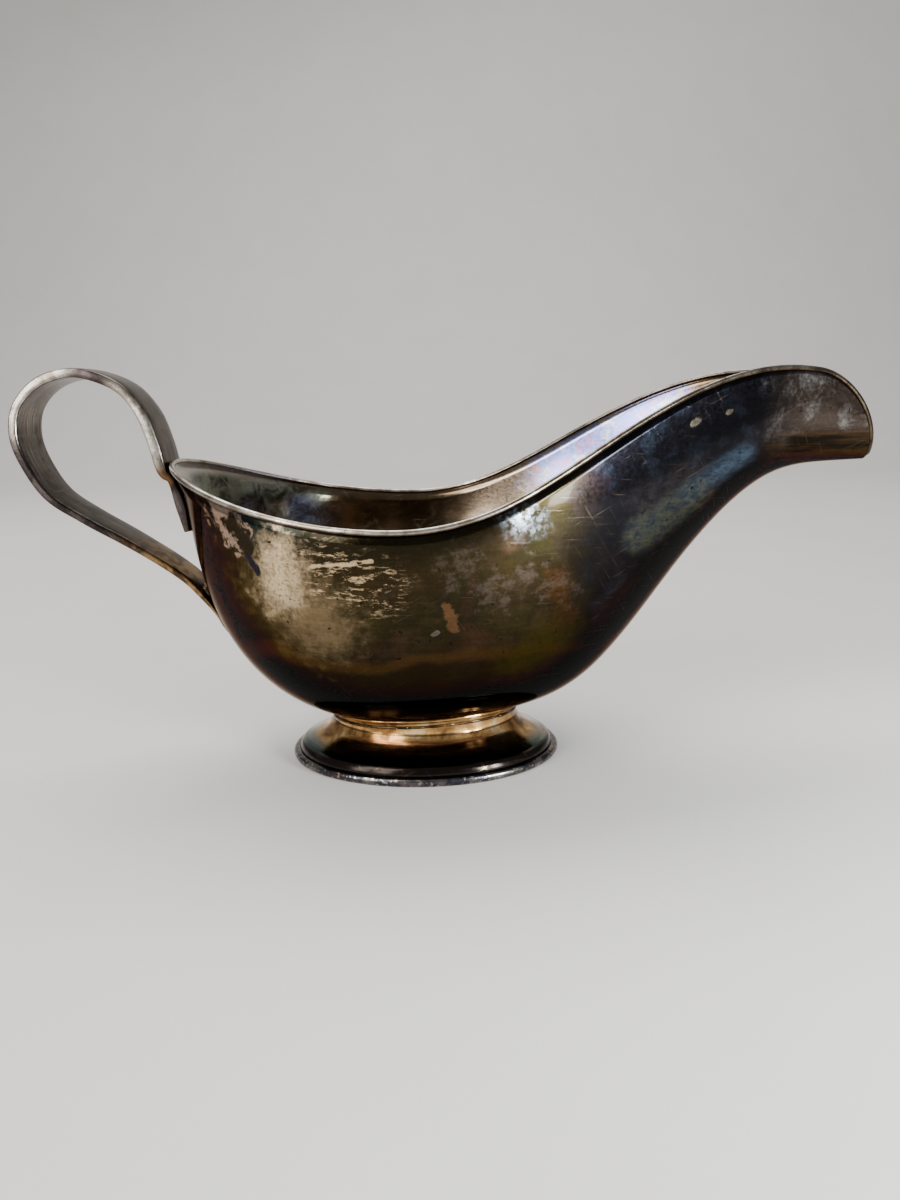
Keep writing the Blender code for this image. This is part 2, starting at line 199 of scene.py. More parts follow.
def spline(xs, ys):
    """A smooth curve through the points, level at the first one."""
    xs = np.array(xs, float)
    ys = np.array(ys, float)
    count = len(xs)
    steps = np.diff(xs)
    rises = np.diff(ys) / steps
    matrix = np.zeros((count, count))
    target = np.zeros(count)
    matrix[0, 0] = 1.0
    for i in range(1, count - 1):
        matrix[i, i - 1] = steps[i]
        matrix[i, i] = 2.0 * (steps[i - 1] + steps[i])
        matrix[i, i + 1] = steps[i - 1]
        target[i] = 3.0 * (steps[i] * rises[i - 1] + steps[i - 1] * rises[i])
    matrix[-1, -2] = 1.0
    matrix[-1, -1] = 2.0
    target[-1] = 3.0 * rises[-1]
    slopes = np.linalg.solve(matrix, target)

    def value(x):
        i = int(np.clip(np.searchsorted(xs, x) - 1, 0, count - 2))
        t = (x - xs[i]) / steps[i]
        return float(
            ys[i] * (1 + 2 * t) * (1 - t) ** 2
            + slopes[i] * steps[i] * t * (1 - t) ** 2
            + ys[i + 1] * t * t * (3 - 2 * t)
            + slopes[i + 1] * steps[i] * t * t * (t - 1)
        )

    return value


AHEAD = [row[0] for row in SECTIONS]
HALF_WIDTH = spline(AHEAD, [row[1] for row in SECTIONS])
RIM_HEIGHT = spline(AHEAD, [row[2] for row in SECTIONS])
KEEL_HEIGHT = spline(AHEAD, [row[3] for row in SECTIONS])
LENGTH_AHEAD = AHEAD[-1]
KEEL_LOW = SECTIONS[0][3]


def back_wall_x(height):
    """Where the back wall's outside stands at a height, on the centre plane."""
    share = (height - KEEL_LOW) / (BACK_RIM_HEIGHT - BEAD_DROP - KEEL_LOW)
    out = (1.0 - (1.0 - share) ** BACK_FULLNESS) ** (1.0 / BACK_FULLNESS)
    return WIDEST_X - BACK_REACH * out - BACK_FLARE * share**FLARE_SHARPNESS


def section_point(angle, fullness):
    """Share of the half width and share of the height, from keel (0) to rim (quarter turn)."""
    out = math.sin(angle) ** (2.0 / fullness)
    up = 1.0 - max(math.cos(angle), 0.0) ** (2.0 / fullness)
    return out, up


def back_column(turn, drop):
    """One line of the back, from the keel to the rim; turn 90 degrees is straight back."""
    across = math.cos(turn)
    along = math.sin(turn)
    side_top = SECTIONS[0][2] - drop - KEEL_LOW
    back_top = BACK_RIM_HEIGHT - drop - KEEL_LOW
    column = []
    for row in range(SECTION_ROWS + 1):
        angle = 0.5 * math.pi * row / SECTION_ROWS
        side_out, side_up = section_point(angle, SECTION_FULLNESS)
        back_out, back_up = section_point(angle, BACK_FULLNESS)
        flare = BACK_FLARE * along * back_up**FLARE_SHARPNESS
        x = WIDEST_X - BACK_REACH * back_out * along - flare
        y = SECTIONS[0][1] * side_out * across
        side_z = KEEL_LOW + side_top * side_up
        back_z = KEEL_LOW + back_top * back_up
        z = side_z + (back_z - side_z) * along**2
        column.append((x, max(y, 0.0), z))
    return column


def front_column(ahead, drop):
    """One cross-section of the front, from the keel to the rim or the falling lip."""
    keel = KEEL_HEIGHT(ahead)
    depth = RIM_HEIGHT(ahead) - drop - keel
    tip = LENGTH_AHEAD - drop
    past = max(0.0, (ahead - LIP_START) / (tip - LIP_START))
    kept = max(0.0, 1.0 - past**LIP_FULLNESS) ** 0.5
    last = math.acos(min(1.0, max(0.0, 1.0 - kept)) ** (SECTION_FULLNESS / 2.0))
    column = []
    for row in range(SECTION_ROWS + 1):
        out, up = section_point(last * row / SECTION_ROWS, SECTION_FULLNESS)
        column.append((WIDEST_X + ahead, HALF_WIDTH(ahead) * out, keel + depth * up))
    return column


def hull_columns(drop):
    columns = []
    for i in range(BACK_COLUMNS):
        turn = 0.5 * math.pi * (1.0 - i / BACK_COLUMNS)
        columns.append(back_column(turn, drop))
    for i in range(FRONT_COLUMNS):
        columns.append(front_column(LIP_START * i / FRONT_COLUMNS, drop))
    lip = LENGTH_AHEAD - drop - LIP_START
    for i in range(LIP_COLUMNS + 1):
        round_lip = math.sin(0.5 * math.pi * i / LIP_COLUMNS)
        columns.append(front_column(LIP_START + lip * round_lip, drop))
    return columns


def into_scene(name, data):
    """A new object in the scene; data is its mesh, light or camera."""
    thing = bpy.data.objects.new(name, data)
    bpy.context.scene.collection.objects.link(thing)
    return thing


def new_object(name, verts, faces):
    mesh = bpy.data.meshes.new(name)
    mesh.from_pydata([tuple(c * MM for c in v) for v in verts], [], faces)
    mesh.update()
    return into_scene(name, mesh)


def tidy_mesh(thing, distance=0.000004):
    """Merge the points that meet, and face everything outwards."""
    mesh = bmesh.new()
    mesh.from_mesh(thing.data)
    bmesh.ops.remove_doubles(mesh, verts=mesh.verts, dist=distance)
    bmesh.ops.dissolve_degenerate(mesh, dist=distance, edges=mesh.edges)
    bmesh.ops.recalc_face_normals(mesh, faces=mesh.faces)
    mesh.to_mesh(thing.data)
    mesh.free()


def bake(thing):
    """Replace an object's mesh by what its modifiers make of it."""
    graph = bpy.context.evaluated_depsgraph_get()
    made = bpy.data.meshes.new_from_object(thing.evaluated_get(graph))
    thing.modifiers.clear()
    thing.data = made


def rim_gaps(column):
    """How far each point of a column lies below its top, along the sheet, in mm."""
    gaps = [0.0]
    for upper, lower in zip(column[:0:-1], column[-2::-1]):
        gaps.append(gaps[-1] + math.dist(upper, lower))
    return gaps[::-1]


def hull_surface(name):
    """The outside of the bowl as an open surface, both halves."""
    columns = hull_columns(BEAD_DROP)
    rows = SECTION_ROWS + 1
    verts = [point for column in columns for point in column]
    faces = []
    for i in range(len(columns) - 1):
        for j in range(SECTION_ROWS):
            a = i * rows + j
            faces.append((a, a + 1, a + rows + 1, a + rows))
    thing = new_object(name, verts, faces)
    store(thing, "height_share", [row / SECTION_ROWS for _ in columns for row in range(rows)])
    store(thing, "below_rim", [gap for column in columns for gap in rim_gaps(column)])
    tidy_mesh(thing)
    mirror = thing.modifiers.new("both_halves", "MIRROR")
    mirror.use_axis = (False, True, False)
    mirror.merge_threshold = 0.00002
    bake(thing)
    tidy_mesh(thing)
    lowest = min(thing.data.polygons, key=lambda p: p.center.z)
    if lowest.normal.z > 0:
        thing.data.flip_normals()
    return thing


def loft(name, rings, closed_loop=False, lengths=None):
    """Skin a row of rings; the row is joined to its start, or its two ends are closed."""
    count = len(rings[0])
    verts = [point for ring in rings for point in ring]
    faces = []
    joins = len(rings) if closed_loop else len(rings) - 1
    for i in range(joins):
        a = i * count
        b = (i + 1) % len(rings) * count
        for j in range(count):
            k = (j + 1) % count
            faces.append((a + j, a + k, b + k, b + j))
    if not closed_loop:
        faces.append(tuple(range(count)))
        faces.append(tuple(range(len(verts) - count, len(verts))))
    thing = new_object(name, verts, faces)
    if lengths is not None:
        store(thing, "along", [length for length in lengths for _ in range(count)])
    tidy_mesh(thing)
    thing.data.shade_smooth()
    return thing


def store(thing, name, values):
    """Keep one number per point of a mesh for its material to read."""
    layer = thing.data.attributes.new(name, "FLOAT", "POINT")
    layer.data.foreach_set("value", np.array(values, np.float32))


def wander(point, size, seed=0.0):
    """Smooth noise, -1 to 1, at a point in mm."""
    return noise.noise(Vector(point) / size + Vector((seed, -seed, 0.5 * seed)))


def rim_edge(surface):
    """The sheet's edge in order: place, outward normal, and the direction off the sheet."""
    mesh = bmesh.new()
    mesh.from_mesh(surface.data)
    mesh.normal_update()
    start = min((v for v in mesh.verts if v.is_boundary), key=lambda v: v.co.x)
    loop = [start]
    previous = None
    while True:
        nearby = [e.other_vert(loop[-1]) for e in loop[-1].link_edges if e.is_boundary]
        ahead = [v for v in nearby if v is not previous]
        previous = loop[-1]
        if ahead[0] is start:
            break
        loop.append(ahead[0])
    edge = []
    for i, vert in enumerate(loop):
        along = loop[(i + 1) % len(loop)].co - loop[i - 1].co
        normal = vert.normal.copy()
        upward = normal.cross(along).normalized()
        inside = [e.other_vert(vert).co for e in vert.link_edges if not e.is_boundary]
        if inside and upward.dot(vert.co - inside[0]) < 0:
            upward = -upward
        edge.append((vert.co / MM, normal, upward))
    mesh.free()
    return edge


def even_out(edge, spacing):
    """Drop places that crowd together and level out the directions of the rest."""
    kept = [edge[0]]
    for place in edge[1:]:
        if (place[0] - kept[-1][0]).length > spacing:
            kept.append(place)
    if (kept[-1][0] - kept[0][0]).length < spacing:
        kept.pop()
    count = len(kept)
    level = []
    for i in range(count):
        near = [kept[(i + k) % count] for k in (-2, -1, 0, 1, 2)]
        normal = sum((n[1] for n in near), Vector()).normalized()
        upward = sum((n[2] for n in near), Vector()).normalized()
        level.append((kept[i][0], normal, upward))
    return level


def dent(thing, depth, size):
    """Small hollows and waves that use leaves in thin metal."""
    for vert in thing.data.vertices:
        push = wander(vert.co / MM, size, 3.0) * depth * MM
        vert.co += vert.normal * push


def thicken(thing, wall):
    """Give a skin its sheet inwards, with the second material on the inside."""
    sheet = thing.modifiers.new("sheet", "SOLIDIFY")
    sheet.thickness = wall * MM
    sheet.offset = -1.0
    sheet.use_even_offset = True
    sheet.material_offset = 1
    bake(thing)
    thing.data.shade_smooth()


def make_bowl(surface):
    bowl = into_scene("bowl_sheet", surface.data.copy())
    dent(bowl, 0.12, 26.0)
    bowl.data.materials.append(outside_tarnish())
    bowl.data.materials.append(inside_tarnish())
    thicken(bowl, WALL)
    return bowl


def make_rim_bead(surface):
    edge = even_out(rim_edge(surface), BEAD_SPACING)
    rings = []
    for place, normal, upward in edge:
        worn = 1.0 + BEAD_WEAR * wander(place, 9.0)
        slim = min(max((place.x - SLIM_FROM) / (SLIM_TO - SLIM_FROM), 0.0), 1.0)
        half_width = BEAD_OUT * worn - SLIM_LOSS * slim
        middle = place - normal * (0.5 * WALL - BEAD_SHIFT + SLIM_LOSS * slim) + upward * BEAD_DROP
        ring = []
        for k in range(BEAD_SIDES):
            angle = 2.0 * math.pi * k / BEAD_SIDES
            out = normal * (half_width * math.cos(angle))
            up = upward * (BEAD_UP * math.sin(angle))
            ring.append(middle + out + up)
        rings.append(ring)
    bead = loft("rim_bead", rings, closed_loop=True)
    bead.data.materials.append(bright_edge())
    return bead


def oval(radius, height, turn):
    return (
        FOOT_X + radius * math.cos(turn),
        FOOT_ROUNDNESS * radius * math.sin(turn),
        height,
    )


def under_bowl(tree, radius, turn):
    """Height of the bowl's underside above a place on the foot's oval."""
    x, y, _ = oval(radius, 0.0, turn)
    spot = tree.ray_cast(Vector((x, y, 0.0)) * MM, Vector((0.0, 0.0, 1.0)))[0]
    return spot.z / MM


def smooth_profile(points, steps):
    """Points on a smooth line through the given ones."""
    padded = [points[0], *points, points[-1]]
    made = []
    for i in range(1, len(padded) - 2):
        a, b, c, d = (np.array(padded[i + k], float) for k in (-1, 0, 1, 2))
        for k in range(steps):
            t = k / steps
            bend = (2 * a - 5 * b + 4 * c - d) * t**2 + (3 * b - a - 3 * c + d) * t**3
            made.append(0.5 * (2 * b + (c - a) * t + bend))
    made.append(np.array(points[-1], float))
    return made


def make_foot(tree):
    """Collar, crease and flare: an open skin, thickened inwards."""
    flare = [(FOOT_RADIUS - inset, z) for inset, z in FOOT_FLARE]
    skin = smooth_profile(flare, 4)
    crease_radius, crease_height = skin[0]
    columns = []
    for i in range(FOOT_TURN_STEPS):
        turn = 2.0 * math.pi * i / FOOT_TURN_STEPS
        top = under_bowl(tree, COLLAR_RADIUS + COLLAR_SPREAD, turn)
        column = []
        for row in range(COLLAR_ROWS):
            share = row / COLLAR_ROWS
            spread = COLLAR_SPREAD * (1.0 - share) ** 3
            radius = COLLAR_RADIUS + (crease_radius - COLLAR_RADIUS) * share**3 + spread
            column.append(oval(radius, top + (crease_height - top) * share, turn))
        column += [oval(radius, height, turn) for radius, height in skin]
        columns.append(column)
    count = len(columns[0])
    verts = [point for column in columns for point in column]
    faces = []
    for i in range(FOOT_TURN_STEPS):
        a = i * count
        b = (i + 1) % FOOT_TURN_STEPS * count
        faces += [(a + j, a + j + 1, b + j + 1, b + j) for j in range(count - 1)]
    foot = new_object("foot_pressing", verts, faces)
    tidy_mesh(foot)
    widest = max(foot.data.polygons, key=lambda p: p.center.x)
    if widest.normal.x < 0:
        foot.data.flip_normals()
    dent(foot, 0.06, 11.0)
    foot.data.materials.append(foot_tarnish())
    foot.data.materials.append(foot_inside())
    thicken(foot, FOOT_WALL)
    return foot


def make_foot_edge():
    """The thick rolled edge that stands on the table."""
    half = 0.5 * EDGE_HEIGHT
    inner = FOOT_RADIUS - EDGE_WIDTH
    outline = []
    arc_steps = 8
    for k in range(arc_steps + 1):
        angle = math.pi * (0.5 - k / arc_steps)
        outline.append((FOOT_RADIUS - half + half * math.cos(angle), half + half * math.sin(angle)))
    outline += [(inner + 0.5, 0.0), (inner, 0.4)]
    outline += [(inner, EDGE_HEIGHT - 0.5), (inner + 0.4, EDGE_HEIGHT)]
    rings = []
    for i in range(FOOT_TURN_STEPS):
        turn = 2.0 * math.pi * i / FOOT_TURN_STEPS
        rings.append([oval(radius, height, turn) for radius, height in outline])
    edge = loft("foot_rolled_edge", rings, closed_loop=True)
    edge.data.materials.append(edge_tarnish())
    return edge


def make_foot_seam(tree):
    """Solder run round the collar under the bowl, lumpy as a hand-run seam is."""
    rings = []
    for i in range(SEAM_STEPS):
        turn = 2.0 * math.pi * i / SEAM_STEPS
        radius = COLLAR_RADIUS + SEAM_PROUD
        middle = Vector(oval(radius, under_bowl(tree, radius, turn) - SEAM_DROP, turn))
        out = Vector((math.cos(turn), math.sin(turn) / FOOT_ROUNDNESS, 0.0)).normalized()
        ring = []
        for k in range(SEAM_SIDES):
            angle = 2.0 * math.pi * k / SEAM_SIDES
            lump = wander(middle, 2.2, 7.0) + 0.5 * wander(middle, 0.9, 2.0 + k % 3)
            size = SEAM_RADIUS * (1.0 + 0.3 * lump)
            ring.append(middle + out * (size * math.cos(angle)) + Vector((0, 0, size * math.sin(angle))))
        rings.append(ring)
    seam = loft("foot_solder_bead", rings, closed_loop=True)
    seam.data.materials.append(solder_specks())
    return seam


def wall_station(height, thickness, half_width):
    """A point of the strap's centre line lying against the back wall."""
    step = 0.5
    slope = (back_wall_x(height + step) - back_wall_x(height - step)) / (2 * step)
    size = math.hypot(1.0, slope)
    away = 0.15 + 0.5 * thickness
    x = back_wall_x(height) - away / size
    return (x, height + away * slope / size, thickness, half_width)


def strap_stations():
    tail = []
    for share in (0.0, 0.5, 1.0):
        height = STRAP_TAIL_LOW + (STRAP_TAIL_HIGH - STRAP_TAIL_LOW) * share
        thickness = TAIL_THICKNESS + (STRAP_THICKNESS - TAIL_THICKNESS) * share
        tail.append(wall_station(height, thickness, TAIL_HALF_WIDTH))
    landing = [
        wall_station(STRAP_LANDING_HIGH, LANDING_THICKNESS, LANDING_HALF_WIDTH),
        wall_station(0.5 * (STRAP_LANDING_HIGH + STRAP_LANDING_LOW), 0.7, 5.4),
        wall_station(STRAP_LANDING_LOW, 0.4, 4.9),
    ]
    return smooth_profile(tail + list(STRAP_LINE) + landing, STRAP_STEPS)


def strap_ring(thickness, half_width):
    """The strap's cross-section as (across, out) pairs: a slim rectangle with soft corners."""
    rounding = min(STRAP_ROUNDING, 0.48 * thickness)
    half = 0.5 * thickness
    corner_steps = 4
    ring = []
    for corner in range(4):
        side = 1 if corner in (0, 3) else -1
        face = 1 if corner in (0, 1) else -1
        centre = (side * (half_width - rounding), face * (half - rounding))
        for k in range(corner_steps + 1):
            angle = 0.5 * math.pi * (corner + k / corner_steps)
            across = centre[0] + rounding * math.cos(angle)
            out = centre[1] + rounding * math.sin(angle)
            ring.append((across, out))
        if corner in (0, 2):
            inner = side * (half_width - rounding)
            ring += [(inner * s, face * (half + STRAP_CROWN * (1 - s * s))) for s in (0.5, 0.0, -0.5)]
    return ring


def make_handle():
    line = strap_stations()
    count = len(line)
    ends = 4
    rings = []
    lengths = []
    length = 0.0
    for i, (x, z, thickness, half_width) in enumerate(line):
        before = line[max(i - 1, 0)]
        after = line[min(i + 1, count - 1)]
        tangent = Vector((after[0] - before[0], 0.0, after[1] - before[1])).normalized()
        out = Vector((-tangent.z, 0.0, tangent.x))
        if i:
            length += math.hypot(x - line[i - 1][0], z - line[i - 1][1])
        from_end = count - 1 - i
        round_off = 1.0
        if from_end < ends:
            round_off = math.sqrt(1.0 - ((ends - from_end) / ends) ** 2 * 0.96)
        if i == 0:
            round_off = 0.96
        ring = []
        for across, height in strap_ring(thickness, half_width * round_off):
            ring.append(Vector((x, across, z)) + out * height)
        rings.append(ring)
        lengths.append(length)
    handle = loft("handle_strap", rings, lengths=lengths)
    dent(handle, 0.08, 9.0)
    handle.data.materials.append(strap_silver())
    return handle


def fillet(name, corner, first, second, leg, half_width, seed):
    """A run of solder in a notch: its section has two legs and a hollow face between them."""
    face_steps = 6
    stations = 40
    rings = []
    for i in range(stations + 1):
        across = -1.0 + 2.0 * i / stations
        y = half_width * across
        reach = leg * (1.0 + 0.25 * wander((y, 0.0, 0.0), 2.6, seed)) * (1.0 - 0.8 * across**8)
        tip_a = corner + first * reach
        tip_b = corner + second * reach
        hollow = corner + (first + second) * (0.3 * reach)
        ring = [corner - (first + second) * 0.15]
        for k in range(face_steps + 1):
            t = k / face_steps
            point = tip_a * (1 - t) ** 2 + hollow * (2 * t * (1 - t)) + tip_b * t**2
            ring.append(point)
        rings.append([Vector((p.x, y, p.z)) for p in ring])
    thing = loft(name, rings)
    thing.data.materials.append(solder_specks())
    return thing


def wall_direction(height):
    step = 0.5
    rise = Vector((back_wall_x(height + step) - back_wall_x(height - step), 0.0, 2 * step))
    return rise.normalized()


def make_solders():
    """The two solder joints of the handle: under the crank and in the lower notch."""
    low_height = 48.5
    low_corner = Vector((back_wall_x(low_height) - 0.3, 0.0, low_height))
    up_wall = wall_direction(low_height + 2.0)
    (far_x, far_z), (last_x, last_z) = (station[:2] for station in STRAP_LINE[-2:])
    up_strap = Vector((far_x - last_x, 0.0, far_z - last_z))
    lower = fillet("handle_solder_low", low_corner, up_wall, up_strap.normalized(), 3.4, 6.3, 4.0)
    high = STRAP_LINE[0][1] + 2.6
    high_corner = Vector((back_wall_x(high) - 0.5, 0.0, high))
    down_wall = -wall_direction(high - 1.5)
    along_strap = Vector((-0.75, 0.0, 0.65)).normalized()
    upper = fillet("handle_solder_high", high_corner, down_wall, along_strap, 1.6, 7.0, 9.0)
    return upper, lower


# ---------------------------------------------------------------- materials


def seen(red, green, blue):
    """A colour given as screen values, 0 to 255, in the shader's linear values."""
    return tuple(((c / 255 + 0.055) / 1.055) ** 2.4 for c in (red, green, blue)) + (1.0,)


SEED_STEP = 0.05  # metres between the places that two seeds read the noise at


class Paint:
    """One material's node tree and the colour built up in it, layer on layer.

    A colour is a node's output or three screen values, 0 to 255.
    """

    def __init__(self, name):
        self.material = bpy.data.materials.new(name)
        self.material.use_nodes = True
        self.tree = self.material.node_tree
        self.shader = self.tree.nodes["Principled BSDF"]
        self.shader.inputs["Metallic"].default_value = 1.0
        self.place = self.add("ShaderNodeTexCoord").outputs["Object"]
        axes = self.add("ShaderNodeSeparateXYZ", {0: self.place})
        self.x, self.y, self.z = (self.math("MULTIPLY", a, 1.0 / MM) for a in axes.outputs)
        self.colour = (128, 128, 128)

    def add(self, kind, inputs=None, **settings):
        """A new node; each input is linked to a node's output or set to a value."""
        node = self.tree.nodes.new(kind)
        for key, value in settings.items():
            setattr(node, key, value)
        for key, value in (inputs or {}).items():
            self.feed(node.inputs[key], value)
        return node

    def feed(self, socket, value):
        if isinstance(value, bpy.types.NodeSocket):
            self.tree.links.new(value, socket)
        else:
            socket.default_value = value

    def math(self, operation, *values):
        return self.add("ShaderNodeMath", dict(enumerate(values)), operation=operation).outputs[0]

    def level(self, value, gain, base):
        """The value times the gain, plus the base."""
        return self.math("MULTIPLY_ADD", value, gain, base)

    def both(self, *shares):
        """The product of several shares."""
        made = shares[0]
        for share in shares[1:]:
            made = self.math("MULTIPLY", made, share)
        return made

    def fade(self, value, start, end, top=1.0):
        """0 at start, rising smoothly to top at end."""
        inputs = {"Value": value, "From Min": start, "From Max": end, "To Max": top}
        return self.add("ShaderNodeMapRange", inputs, interpolation_type="SMOOTHSTEP").outputs["Result"]

    def between(self, value, low_start, low_end, high_start, high_end):
        """1 from low_end to high_start, fading to 0 at low_start and high_end."""
        return self.both(self.fade(value, low_start, low_end), self.fade(value, high_end, high_start))

    def noise(self, spot, detail, rough=0.5, warp=0.0):
        inputs = {"Vector": spot, "Scale": 1.0, "Detail": detail, "Roughness": rough, "Distortion": warp}
        return self.add("ShaderNodeTexNoise", inputs).outputs["Fac"]

    def cloud(self, size, detail=4.0, rough=0.55, stretch=(1, 1, 1), seed=0.0, warp=0.0, tilt=0.0):
        """Cloudy noise about 0.5; size in mm, stretched along axes tilted by some degrees."""
        shift = seed * SEED_STEP
        inputs = {
            "Vector": self.place,
            "Location": (shift, 0.7 * shift, -1.3 * shift),
            "Rotation": (0.0, math.radians(tilt), 0.0),
            "Scale": [size * MM * s for s in stretch],
        }
        spot = self.add("ShaderNodeMapping", inputs, vector_type="TEXTURE")
        return self.noise(spot.outputs[0], detail, rough, warp)

    def brushed(self, along, length, width):
        """Noise drawn out along a strap; length and width of its lines in mm."""
        inputs = {
            "X": self.math("MULTIPLY", along, 1.0 / length),
            "Y": self.math("MULTIPLY", self.y, 1.0 / width),
        }
        return self.noise(self.add("ShaderNodeCombineXYZ", inputs).outputs[0], 4.0)

    def vector(self, operation, inputs):
        """A vector calculation; its result is output 0, or output 1 if it is a number."""
        return self.add("ShaderNodeVectorMath", inputs, operation=operation).outputs

    def stroke(self, start, end, width, soft, ragged, grain):
        """A ragged line on the side of the boat, from start to end in mm along and up."""
        flat = self.add("ShaderNodeCombineXYZ", {"X": self.x, "Z": self.z}).outputs[0]
        run = (end[0] - start[0], 0.0, end[1] - start[1])
        size = run[0] ** 2 + run[2] ** 2
        away = self.vector("SUBTRACT", {0: flat, 1: (start[0], 0.0, start[1])})[0]
        along = self.vector("DOT_PRODUCT", {0: away, 1: [c / size for c in run]})[1]
        part = self.add("ShaderNodeClamp", {"Value": along}).outputs[0]
        nearest = self.vector("SCALE", {0: run, "Scale": part})[0]
        far = self.vector("LENGTH", {0: self.vector("SUBTRACT", {0: away, 1: nearest})[0]})[1]
        distance = self.math("ADD", far, self.level(grain, 4.0 * ragged, -2.0 * ragged))
        return self.fade(distance, width + soft, width - soft)

    def stored(self, name):
        """A number kept on the mesh by store()."""
        return self.add("ShaderNodeAttribute", attribute_name=name).outputs["Fac"]

    def facing(self, axis):
        """1 where the surface looks straight along the axis, 0 where it lies along it."""
        normal = self.add("ShaderNodeNewGeometry").outputs["Normal"]
        return self.add("ShaderNodeSeparateXYZ", {0: normal}).outputs[axis]

    def scale(self, colour, value):
        return self.vector("SCALE", {0: colour, "Scale": value})[0]

    def over(self, below, above, share):
        """One colour laid over another."""
        below, above = (seen(*c) if isinstance(c, tuple) else c for c in (below, above))
        return self.add("ShaderNodeMix", {0: share, 6: below, 7: above}, data_type="RGBA").outputs[2]

    def blend(self, first, second, value, start, end, top=1.0):
        """The first colour, turning into the second as the value goes from start to end."""
        return self.over(first, second, self.fade(value, start, end, top))

    def lay(self, colour, *shares):
        """Lay one more colour over those laid so far, in the product of the shares."""
        self.colour = self.over(self.colour, colour, self.both(*shares))

    def shade(self, value):
        """Darken or lighten the colour laid so far."""
        self.colour = self.scale(self.colour, value)

    def tint(self, value, colours):
        """Colours spread evenly over a value from 0 to 1."""
        node = self.add("ShaderNodeValToRGB", {0: value})
        ramp = node.color_ramp
        last = len(colours) - 1
        while len(ramp.elements) < len(colours):
            ramp.elements.new(0.5)
        for i, colour in enumerate(colours):
            ramp.elements[i].position = i / last
            ramp.elements[i].color = seen(*colour)
        return node.outputs["Color"]

    def coat(self, weight, roughness):
        """The thin glassy film that old tarnish leaves on the metal."""
        self.shader.inputs["Coat Weight"].default_value = weight
        self.shader.inputs["Coat Roughness"].default_value = roughness

    def edge_on(self, colour):
        """The tint of the metal where it is seen nearly edge-on."""
        self.shader.inputs["Specular Tint"].default_value = colour

    def finish(self, roughness, height=None, depth=0.02):
        """Join the colour, roughness and relief (depth in mm) to the shader."""
        self.feed(self.shader.inputs["Base Color"], self.colour)
        self.feed(self.shader.inputs["Roughness"], roughness)
        if height is not None:
            inputs = {"Strength": 1.0, "Distance": depth * MM, "Height": height}
            relief = self.add("ShaderNodeBump", inputs)
            self.feed(self.shader.inputs["Normal"], relief.outputs["Normal"])
        return self.material


def scratches(paint, seed=0.0):
    """Fine hairlines in three directions, 0 to 1."""
    lines = None
    for tilt in (4.0, -27.0, 58.0):
        fine = paint.cloud(0.45, 2.0, 0.5, (26.0, 26.0, 1.0), seed + tilt, 0.0, tilt)
        hair = paint.fade(fine, 0.66, 0.74)
        lines = hair if lines is None else paint.math("MAXIMUM", lines, hair)
    return lines


# Screen colours of the tarnish films, each tinted along its own cloud; the bowl's warm film is partly a
# painted reflection of a brown table, and the foot's tints are partly a painted reflection of the wall
# at its ends
WARM_FILM_AND_REFLECTION = ((74, 46, 22), (92, 66, 38), (64, 60, 28), (50, 42, 22), (88, 58, 44), (70, 58, 30))
EDGE_TINTS = ((120, 98, 62), (128, 88, 84), (78, 74, 110), (66, 92, 112), (92, 112, 86), (138, 124, 70))
FOOT_TINTS_AND_REFLECTION = ((92, 76, 104), (96, 112, 122), (130, 140, 126), (176, 140, 112), (116, 80, 88))
PEARL = ((232, 190, 106), (222, 142, 162), (128, 152, 220), (244, 226, 176), (136, 192, 182))
FILM_DEPTH = 0.62  # how much light the film over the outside lets back
# pale spots on the near side: place along and up, half width
PALE_SPOTS = (
    (61.4, 93.0, 0.75),
    (70.8, 95.4, 0.5),
    (-2.6, 46.0, 0.5),
    (-13.0, 57.0, 0.4),
)


class HullPaint(Paint):
    """Paint for the bowl's outside, with the places and noises that its stains share."""

    def __init__(self, name):
        super().__init__(name)
        self.share = self.stored("height_share")
        self.below_rim = self.stored("below_rim")
        self.near = self.fade(self.y, 1.0, -3.0)
        self.broad = self.cloud(24.0, 3.0, 0.5, seed=2.0)
        self.middle = self.cloud(7.0, 5.0, 0.6, seed=9.0)
        self.fine = self.cloud(0.9, 3.0, 0.6, seed=4.0)
        self.lines = self.cloud(0.8, 3.0, 0.6, (14.0, 10.0, 1.0), 3.0)
        self.flaky = self.cloud(3.2, 6.0, 0.65, seed=24.0)
        self.uneven_x = self.level(self.middle, 12.0, self.x)
        self.uneven_z = self.level(self.broad, 14.0, self.math("SUBTRACT", self.z, 7.0))

    def stain(self, colour, start, end, width, soft, ragged, *shares):
        """A ragged stain from start to end, and the share of the surface that it covers."""
        covered = self.stroke(start, end, width, soft, ragged, self.flaky)
        self.lay(colour, covered, *shares)
        return covered


def film_and_table_reflection(paint):
    """Olive brown, partly tarnish and partly a painted reflection of a brown table below, darker and
    more uneven towards the foot, with a lighter painted reflection band low down.
    """
    # Painted reflection: the olive brown stands partly for a brown table seen in the metal, partly for
    # tarnish.
    paint.colour = paint.blend((58, 42, 18), (36, 30, 12), paint.broad, 0.4, 0.6)
    paint.lay((86, 68, 46), paint.fade(paint.middle, 0.48, 0.66, 0.5))
    paint.lay(paint.tint(paint.cloud(15.0, 4.0, 0.5, seed=14.0, warp=0.6), WARM_FILM_AND_REFLECTION), 0.5)
    paint.lay((38, 23, 8), paint.fade(paint.uneven_z, 46.0, 27.0, 0.9))
    # Painted reflection: a lighter gold-brown band low on the side, a table's edge seen in the metal.
    paint.lay((92, 64, 28), paint.between(paint.uneven_z, 35.0, 37.5, 38.5, 41.0), 0.6)
    paint.lay((34, 29, 14), paint.fade(paint.below_rim, 11.0, 3.0, 0.8))
    teal = paint.both(paint.fade(paint.below_rim, 12.0, 4.0), paint.fade(paint.uneven_x, -18.0, -40.0))
    paint.lay((40, 52, 48), teal, 0.8)


